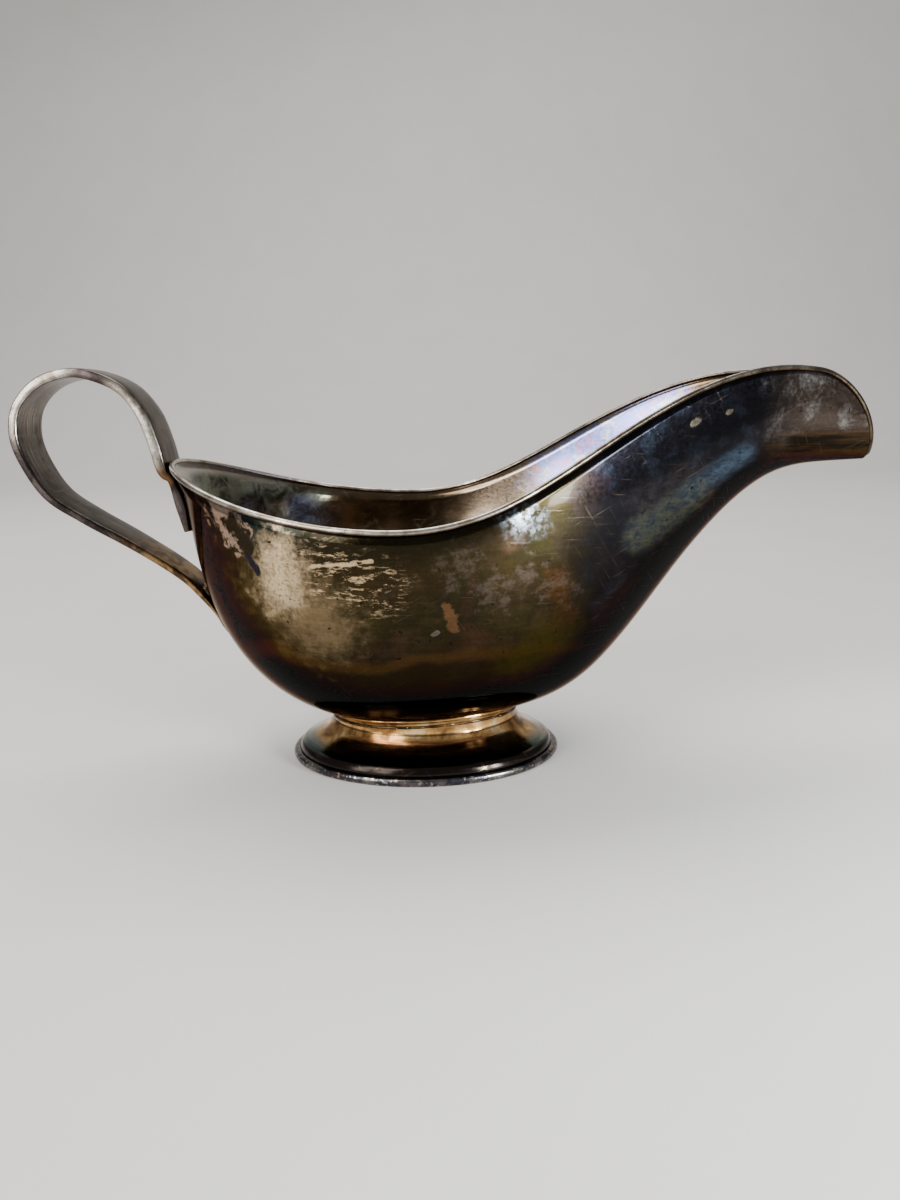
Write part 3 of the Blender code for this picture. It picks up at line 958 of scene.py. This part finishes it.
def front_stains(paint):
    """Olive and amber stains ahead of the middle, on both sides."""
    paint.stain((46, 50, 18), (37.0, 43.0), (44.0, 60.0), 5.0, 5.0, 4.0, 0.8)
    paint.stain((70, 62, 14), (18.0, 36.0), (29.0, 43.0), 5.0, 4.0, 4.0, 0.7)
    paint.stain((88, 56, 20), (27.0, 57.0), (31.0, 47.0), 2.5, 3.5, 3.0, 0.7)


def spout_film(paint):
    """Blue black, with a pale blue and golden sheen low down and orange brown along the keel."""
    middle = paint.middle
    night = paint.blend((22, 21, 26), (40, 46, 56), middle, 0.5, 0.72, 0.8)
    night = paint.blend(night, (50, 38, 42), paint.broad, 0.52, 0.66, 0.5)
    paint.lay(night, paint.fade(paint.uneven_x, 30.0, 46.0), paint.fade(paint.share, 0.24, 0.5))

    mottle = paint.fade(paint.cloud(2.0, 6.0, 0.75, (1.6, 1.6, 0.8), 31.0), 0.38, 0.64)
    blue = paint.over((52, 66, 82), (82, 100, 120), mottle)
    paint.lay(blue, paint.stroke((62.0, 76.0), (77.5, 85.0), 2.6, 2.2, 0.9, middle), 0.85)
    golden = paint.over((52, 62, 72), (94, 96, 78), mottle)
    paint.lay(golden, paint.stroke((49.0, 66.5), (64.0, 75.5), 4.4, 2.4, 1.0, middle), 0.65)
    dusk = paint.stroke((50.0, 75.0), (60.0, 81.0), 3.0, 6.0, 2.0, middle)
    paint.lay((62, 56, 58), dusk, mottle, 0.6)

    wavy_share = paint.level(middle, 0.3, paint.math("SUBTRACT", paint.share, 0.15))
    keel_brown = paint.blend((84, 52, 30), (52, 38, 28), middle, 0.4, 0.6)
    paint.lay(keel_brown, paint.fade(wavy_share, 0.44, 0.14), paint.fade(paint.uneven_x, 20.0, 50.0), 0.75)


def silvery_patch_and_painted_glint(paint):
    """Clearer, paler metal high on the side, painted where a window shows in it: partly rubbed film and
    partly a painted highlight.
    """
    # Painted highlight: the pale patch is placed where the window light glints.
    gaps = paint.fade(paint.cloud(1.6, 6.0, 0.7, seed=37.0), 0.6, 0.42)
    paint.stain((158, 168, 178), (15.5, 76.0), (20.0, 72.0), 2.2, 4.0, 3.0, gaps, 0.8)


def lip_film(paint):
    """Smoky above, with drawn-out olive lines below."""
    wisps = paint.fade(paint.level(paint.fine, 0.25, paint.middle), 0.58, 0.86)
    smoke = paint.over((70, 60, 53), (118, 113, 109), wisps)
    paint.lay(smoke, paint.fade(paint.uneven_x, 84.0, 100.0))
    long_lines = paint.cloud(1.5, 3.0, 0.6, (22.0, 6.0, 0.9), 44.0)
    drawn = paint.blend((26, 21, 13), (66, 48, 28), long_lines, 0.42, 0.62)
    paint.lay(drawn, paint.fade(paint.x, 80.0, 92.0), paint.fade(paint.z, 91.5, 88.5))


def back_end(paint):
    """Purple brown with dark upright stripes, on the side next to the handle."""
    bruised = paint.blend((74, 60, 51), (44, 33, 25), paint.flaky, 0.42, 0.6)
    paint.lay(bruised, paint.fade(paint.uneven_x, -42.0, -54.0), 0.75)
    upright = paint.cloud(1.6, 2.0, 0.5, (1.0, 1.0, 14.0), 47.0)
    paint.lay((30, 22, 17), paint.fade(paint.uneven_x, -56.0, -62.0), paint.fade(upright, 0.5, 0.58))


def worn_places(paint):
    """Where the film has rubbed off the near side; the share of the palest place comes back."""
    near = paint.near
    paint.stain((112, 94, 68), (-38.0, 57.0), (-30.0, 48.0), 7.5, 7.0, 6.0, near, 0.85)
    cream = paint.blend((206, 184, 150), (150, 128, 98), paint.fine, 0.46, 0.62)
    worn = paint.stain(cream, (-38.5, 65.5), (-38.5, 57.0), 4.6, 4.4, 4.0, near)
    paint.stain((150, 128, 112), (-54.0, 74.5), (-49.0, 69.0), 3.8, 0.7, 4.0, near)
    paint.stain((40, 34, 24), (-50.5, 72.5), (-46.5, 67.0), 2.1, 0.6, 2.0, near)
    paint.stain((34, 30, 40), (-46.4, 64.6), (-44.2, 60.4), 0.8, 0.5, 1.2, near)
    paint.stain((34, 30, 40), (-56.6, 74.6), (-55.8, 73.0), 0.9, 0.5, 1.2, near)
    return worn


def small_stains(paint):
    """Smears, a copper stain and pale ringed spots on the near side."""
    near = paint.near
    smears = paint.math(
        "MAXIMUM",
        paint.stroke((4.0, 62.0), (12.0, 55.0), 4.6, 2.0, 6.0, paint.flaky),
        paint.stroke((20.0, 60.0), (29.0, 53.5), 3.6, 2.0, 5.0, paint.flaky),
    )
    patchy = paint.fade(paint.cloud(2.4, 6.0, 0.7, (1.3, 1.3, 1.0), 35.0), 0.42, 0.62)
    paint.lay((86, 74, 67), smears, near, patchy, 0.42)
    paint.stain((98, 68, 44), (0.6, 53.0), (2.4, 47.5), 1.0, 0.4, 1.3, near, 0.7)
    for x, z, width in PALE_SPOTS:
        far_end = (x + 2.2 * width, z + 0.9 * width)
        paint.stain((24, 20, 20), (x, z), far_end, 1.5 * width, 0.3, 0.6, near, 0.7)
        paint.stain((96, 88, 76), (x, z), far_end, width, 0.2, 0.6, near, 0.85)


def flakes(paint):
    """Flakes drawn out along the near side, and one long pale scratch."""
    zone = paint.stroke((-33.0, 63.0), (-15.0, 58.0), 6.0, 4.0, 3.0, paint.flaky)
    specks = paint.fade(paint.cloud(1.3, 8.0, 0.8, (4.2, 3.0, 0.9), 6.0), 0.545, 0.58)
    scratch = paint.stroke((-30.0, 63.0), (-16.0, 64.4), 0.35, 0.15, 0.5, paint.flaky)
    bare = paint.math("MAXIMUM", paint.both(specks, zone, paint.near), paint.both(scratch, paint.near))
    paint.lay((182, 158, 124), bare)


def wear(paint):
    """Hairlines, rubbing lines and pits all over; the share of the hairlines comes back."""
    hair = scratches(paint)
    paint.lay((104, 94, 78), hair, paint.fade(paint.broad, 0.38, 0.62, 0.26))
    paint.shade(paint.level(paint.lines, 0.7, 0.65))
    paint.shade(paint.level(paint.fine, 0.8, 0.6))
    paint.lay((20, 16, 14), paint.fade(paint.cloud(1.3, 2.0, 0.5, seed=21.0), 0.68, 0.73))
    return hair


def outside_tarnish():
    paint = HullPaint("tarnished_silver_outside")
    film_and_table_reflection(paint)
    front_stains(paint)
    spout_film(paint)
    silvery_patch_and_painted_glint(paint)
    lip_film(paint)
    paint.shade(FILM_DEPTH)
    back_end(paint)
    worn = worn_places(paint)
    small_stains(paint)
    flakes(paint)
    hair = wear(paint)
    paint.lay((6, 5, 4), paint.fade(paint.uneven_z, 30.0, 22.0))
    # Painted shade: a dark line just under the rim bead, in the crease where it meets the sheet.
    paint.lay((14, 11, 9), paint.fade(paint.below_rim, 0.8, 0.4, 0.5))
    roughness = paint.level(paint.fine, 0.16, 0.1)
    roughness = paint.level(worn, 0.1, roughness)
    roughness = paint.level(paint.fade(paint.z, 40.0, 24.0), -0.08, roughness)
    relief = paint.level(hair, -0.3, paint.cloud(2.5, 5.0, 0.6, seed=30.0))
    paint.coat(0.1, 0.06)
    paint.edge_on((0.36, 0.27, 0.2, 1.0))
    return paint.finish(roughness, relief, 0.012)


def inside_tarnish():
    """Grey green at the back, brown in the middle and pearly inside the spout."""
    paint = Paint("tarnished_silver_inside")
    broad = paint.cloud(17.0, 4.0, 0.55, seed=12.0)
    middle = paint.cloud(6.0, 5.0, 0.6, seed=19.0, warp=0.5)
    fine = paint.cloud(0.9, 3.0, 0.6, seed=15.0)
    below_rim = paint.stored("below_rim")
    x = paint.level(middle, 24.0, paint.math("SUBTRACT", paint.x, 12.0))
    paint.colour = paint.blend((92, 75, 54), (58, 47, 30), broad, 0.4, 0.62)
    paint.lay((112, 98, 84), paint.fade(middle, 0.54, 0.7, 0.8))
    back = paint.blend((122, 124, 108), (66, 68, 56), middle, 0.42, 0.6)
    paint.lay(back, paint.fade(x, -34.0, -48.0))
    paint.lay((150, 142, 130), paint.fade(below_rim, 5.0, 2.0), paint.fade(x, -46.0, -58.0))
    paint.lay((170, 152, 130), paint.fade(x, -8.0, 20.0))
    pearl = paint.tint(paint.cloud(5.5, 5.0, 0.65, (1, 1, 0.7), 17.0, 0.8), PEARL)
    paint.lay(pearl, paint.fade(x, 20.0, 38.0))
    end = paint.blend((190, 160, 118), (70, 54, 40), x, 72.0, 84.0)
    paint.lay(end, paint.fade(x, 66.0, 76.0))
    paint.lay((90, 74, 56), paint.fade(below_rim, 2.6, 0.8, 0.7))
    paint.lay((190, 184, 172), scratches(paint, 40.0), 0.3)
    paint.shade(paint.level(fine, 0.5, 0.75))
    roughness = paint.level(fine, 0.14, 0.1)
    return paint.finish(roughness, paint.cloud(4.0, 5.0, seed=33.0), 0.02)


def bright_edge():
    """Worn bright on top and lighter where it faces up, partly wear and partly a painted highlight;
    tarnished below and darker along the spout.
    """
    paint = Paint("bright_wire")
    stain = paint.cloud(6.0, 5.0, 0.6, seed=50.0)
    grit = paint.cloud(0.6, 3.0, 0.6, seed=52.0)
    tarnish = paint.blend((96, 80, 64), (52, 42, 34), stain, 0.4, 0.62)
    worn = paint.blend((196, 188, 176), (146, 132, 114), stain, 0.42, 0.6)
    worn = paint.blend(worn, tarnish, grit, 0.58, 0.7, 0.7)
    ahead = paint.fade(paint.x, 0.0, 45.0)
    # Painted highlight: the bead is lighter where it faces up.
    lit = paint.level(ahead, -0.4, paint.facing("Z"))
    paint.colour = paint.blend(tarnish, worn, lit, -0.45, 0.15)
    paint.lay(paint.scale(paint.colour, 0.5), ahead)
    roughness = paint.level(grit, 0.24, 0.12)
    return paint.finish(roughness, grit, 0.02)


def strap_edges(paint, stain, height):
    """The narrow edges: rubbed bright round the loop, where a painted highlight is laid too, dull and
    purplish on the lower run.
    """
    edge = paint.fade(paint.math("ABSOLUTE", paint.facing("Y")), 0.35, 0.75)
    bright = paint.blend((226, 218, 206), (140, 126, 110), stain, 0.44, 0.58, 0.85)
    dull = paint.blend((104, 92, 90), (62, 54, 54), stain, 0.42, 0.58)
    # Painted highlight: these two places on the loop are laid bright where the light catches the edges,
    # as well as rubbed.
    loop_left = paint.both(paint.fade(height, 88.0, 96.0), paint.fade(paint.x, -96.0, -102.0))
    loop_right = paint.both(paint.fade(height, 79.0, 83.0), paint.fade(paint.x, -90.0, -86.0))
    paint.lay(paint.over(dull, bright, paint.math("MAXIMUM", loop_left, loop_right)), edge, 0.9)


def strap_silver():
    """Grey brushed metal, bronze near the lower joint brightened into a painted golden highlight, and
    brown under the crank.
    """
    paint = Paint("strap_silver")
    stain = paint.cloud(9.0, 5.0, 0.6, seed=60.0, warp=0.4)
    blots = paint.cloud(3.5, 5.0, 0.65, seed=65.0)
    grit = paint.cloud(0.7, 3.0, 0.6, seed=61.0)
    lines = paint.brushed(paint.stored("along"), 14.0, 0.35)
    height = paint.level(blots, 8.0, paint.math("SUBTRACT", paint.z, 4.0))
    paint.colour = paint.blend((120, 113, 106), (82, 75, 67), stain, 0.42, 0.6)
    paint.lay((166, 159, 150), paint.fade(lines, 0.5, 0.66, 0.8))
    paint.lay((48, 42, 37), paint.fade(lines, 0.46, 0.34, 0.7))
    paint.lay((50, 44, 42), paint.fade(blots, 0.58, 0.68, 0.7))
    strap_edges(paint, stain, height)
    paint.lay(paint.scale(paint.colour, 0.7), paint.fade(height, 88.0, 76.0))
    # Bronze tone near the lower joint, made bright as a painted golden highlight on the face.
    bronze = paint.blend((186, 148, 98), (92, 70, 48), blots, 0.44, 0.58)
    paint.lay(bronze, paint.fade(paint.x, -96.0, -74.0), paint.fade(paint.z, 70.0, 60.0), 0.8)
    paint.lay((112, 78, 48), paint.stroke((-76.5, 82.0), (-74.0, 80.5), 1.3, 0.8, 0.8, blots), 0.85)
    paint.lay((176, 168, 156), scratches(paint, 70.0), 0.25)
    paint.shade(paint.level(grit, 0.5, 0.36))
    roughness = paint.level(grit, 0.2, 0.12)
    paint.edge_on((0.7, 0.68, 0.67, 1.0))
    return paint.finish(roughness, paint.math("ADD", lines, grit), 0.012)


def foot_tarnish():
    """Gold on the collar and the flare's top with a painted highlight in its palest parts, then near
    black, with tinted ends that are partly a painted reflection, and painted shade along the bottom
    margin.
    """
    paint = Paint("gilt_tarnish_foot")
    cloud = paint.cloud(7.0, 4.0, 0.55, seed=80.0, warp=0.5)
    fine = paint.cloud(0.8, 3.0, 0.6, seed=82.0)
    around = paint.cloud(1.0, 3.0, 0.6, (8.0, 8.0, 0.5), 83.0)
    height = paint.level(cloud, 1.6, paint.math("SUBTRACT", paint.z, 0.8))
    length = paint.math("ABSOLUTE", paint.math("SUBTRACT", paint.x, FOOT_X))
    gold = paint.blend((196, 152, 94), (112, 78, 44), cloud, 0.44, 0.64)
    # Painted highlight: the palest gold stands for light on the collar.
    gold = paint.blend(gold, (236, 208, 158), cloud, 0.46, 0.36, 0.8)
    copper = paint.blend((164, 114, 70), (112, 72, 42), around, 0.42, 0.6)
    upper = paint.blend(copper, gold, height, 9.2, 10.8)
    paint.colour = paint.blend((54, 36, 24), upper, height, 6.0, 7.6)
    paint.lay((62, 40, 32), paint.fade(height, 6.1, 5.2))
    paint.lay(gold, paint.fade(length, 17.0, 23.0), paint.fade(height, 5.2, 6.6), 0.9)
    # Tinted film at the ends, partly a painted reflection of the wall seen at a grazing angle.
    tints = paint.tint(paint.cloud(8.0, 3.0, 0.5, seed=85.0, warp=0.6), FOOT_TINTS_AND_REFLECTION)
    paint.lay(tints, paint.fade(length, 24.0, 31.0), paint.fade(height, 7.2, 5.8), 0.85)
    paint.lay((56, 72, 68), paint.fade(paint.z, 6.0, 5.0), paint.fade(around, 0.4, 0.6), 0.8)
    # Painted shade: the flare's bottom margin next to the edge bead is darkened so that it doesn't catch
    # the light.
    paint.lay((40, 35, 32), paint.fade(paint.z, 5.1, 4.4))
    paint.lay((36, 24, 16), paint.between(paint.z, 10.9, 11.15, 11.35, 11.6), 0.6)
    paint.lay((186, 160, 120), scratches(paint, 90.0), 0.2)
    paint.shade(paint.level(fine, 0.5, 0.75))
    roughness = paint.level(fine, 0.16, 0.08)
    return paint.finish(roughness, around, 0.012)


def foot_inside():
    paint = Paint("dull_foot_inside")
    cloud = paint.cloud(5.0, 5.0, 0.6, seed=95.0)
    paint.colour = paint.blend((110, 92, 70), (50, 42, 34), cloud, 0.38, 0.64)
    roughness = paint.level(cloud, 0.3, 0.25)
    return paint.finish(roughness, paint.cloud(1.5, 4.0, seed=96.0), 0.02)


def edge_tarnish():
    """Grey brown with faint tints and bright rubbed specks."""
    paint = Paint("gilt_tarnish_edge")
    cloud = paint.cloud(6.0, 4.0, 0.6, seed=100.0)
    paint.colour = paint.blend((112, 104, 94), (50, 44, 40), cloud, 0.42, 0.6)
    paint.lay(paint.tint(paint.cloud(12.0, 3.0, 0.5, seed=103.0), EDGE_TINTS), 0.22)
    paint.lay((176, 164, 148), paint.fade(paint.cloud(0.9, 4.0, seed=105.0), 0.54, 0.68))
    roughness = paint.level(cloud, 0.2, 0.12)
    return paint.finish(roughness, paint.cloud(1.5, 4.0, seed=104.0), 0.01)


def solder_specks():
    paint = Paint("solder")
    speck = paint.cloud(1.0, 3.0, 0.6, seed=110.0)
    broad = paint.cloud(4.0, seed=111.0)
    paint.colour = paint.blend((96, 72, 48), (44, 34, 26), broad, 0.4, 0.6)
    paint.lay((220, 190, 140), paint.fade(speck, 0.6, 0.68))
    roughness = paint.level(speck, 0.3, 0.25)
    return paint.finish(roughness, paint.cloud(0.7, 3.0, seed=112.0), 0.06)


def pale_floor():
    paint = Paint("pale_floor")
    paint.shader.inputs["Metallic"].default_value = 0.0
    paint.colour = paint.over((222, 219, 214), (214, 210, 204), paint.cloud(60.0, 4.0, seed=120.0))
    return paint.finish(0.6)


# ---------------------------------------------------------------- stage


def make_floor():
    """A pale floor that curves up into a pale wall behind the object."""
    outline = [(FLOOR_FRONT, 0.0), (FLOOR_BEND, 0.0)]
    for k in range(1, FLOOR_BEND_STEPS + 1):
        angle = 0.5 * math.pi * k / FLOOR_BEND_STEPS
        along = FLOOR_BEND + FLOOR_BEND_RADIUS * math.sin(angle)
        outline.append((along, FLOOR_BEND_RADIUS * (1 - math.cos(angle))))
    outline.append((FLOOR_BEND + FLOOR_BEND_RADIUS, WALL_TOP))
    verts = []
    for y, z in outline:
        verts += [(-FLOOR_HALF_WIDTH, y, z), (FLOOR_HALF_WIDTH, y, z)]
    faces = [(2 * i, 2 * i + 1, 2 * i + 3, 2 * i + 2) for i in range(len(outline) - 1)]
    floor = new_object("studio_floor", verts, faces)
    floor.data.shade_smooth()
    floor.data.materials.append(pale_floor())


def soft_light(name, place, target, size, power, colour):
    light = bpy.data.lights.new(name, "AREA")
    light.shape = "RECTANGLE"
    light.size, light.size_y = size
    light.energy = power
    light.color = colour
    thing = into_scene(name, light)
    thing.location = place
    thing.rotation_euler = (Vector(target) - Vector(place)).to_track_quat("-Z", "Y").to_euler()
    thing.visible_camera = False


def make_lights():
    world = bpy.data.worlds.new("studio")
    world.use_nodes = True
    background = world.node_tree.nodes["Background"]
    background.inputs["Color"].default_value = SKY_COLOUR
    background.inputs["Strength"].default_value = SKY_STRENGTH
    bpy.context.scene.world = world
    for light in LIGHTS:
        soft_light(*light)


def make_camera():
    """Set in front of the boat and a little above it, where the picture was taken from."""
    camera = bpy.data.cameras.new("camera")
    camera.lens = CAMERA_LENS
    camera.clip_start = 0.01
    yaw, pitch, roll = (math.radians(angle) for angle in CAMERA_TURN)
    ahead = Vector((math.sin(yaw) * math.cos(pitch), math.cos(yaw) * math.cos(pitch), -math.sin(pitch)))
    level = Vector((math.cos(yaw), -math.sin(yaw), 0.0))
    upright = level.cross(ahead)
    right = level * math.cos(roll) + upright * math.sin(roll)
    up = upright * math.cos(roll) - level * math.sin(roll)
    thing = into_scene("camera", camera)
    turn = Matrix((right, up, -ahead)).transposed().to_4x4()
    thing.matrix_world = Matrix.Translation(Vector(CAMERA_PLACE)) @ turn
    bpy.context.scene.camera = thing


def add_piece(thing, slot, *nodes):
    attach(thing, BODY)
    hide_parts(*nodes)


def main():
    surface = hull_surface("bowl_outside")
    tree = BVHTree.FromObject(surface, bpy.context.evaluated_depsgraph_get())
    add_piece(make_bowl(surface), "tarnished_silver", "bowl")
    add_piece(make_rim_bead(surface), "bright_wire", "rim_wire")
    add_piece(make_foot(tree), "gilt_tarnish", "foot")
    add_piece(make_foot_edge(), "gilt_tarnish", "foot_edge")
    add_piece(make_foot_seam(tree), "solder", "foot_solder_seam")
    add_piece(make_handle(), "strap_silver", "handle")
    upper, lower = make_solders()
    add_piece(upper, "solder", "handle_upper_solder")
    add_piece(lower, "solder", "handle_lower_solder")
    bpy.data.objects.remove(surface)
    make_floor()
    make_lights()
    make_camera()


main()
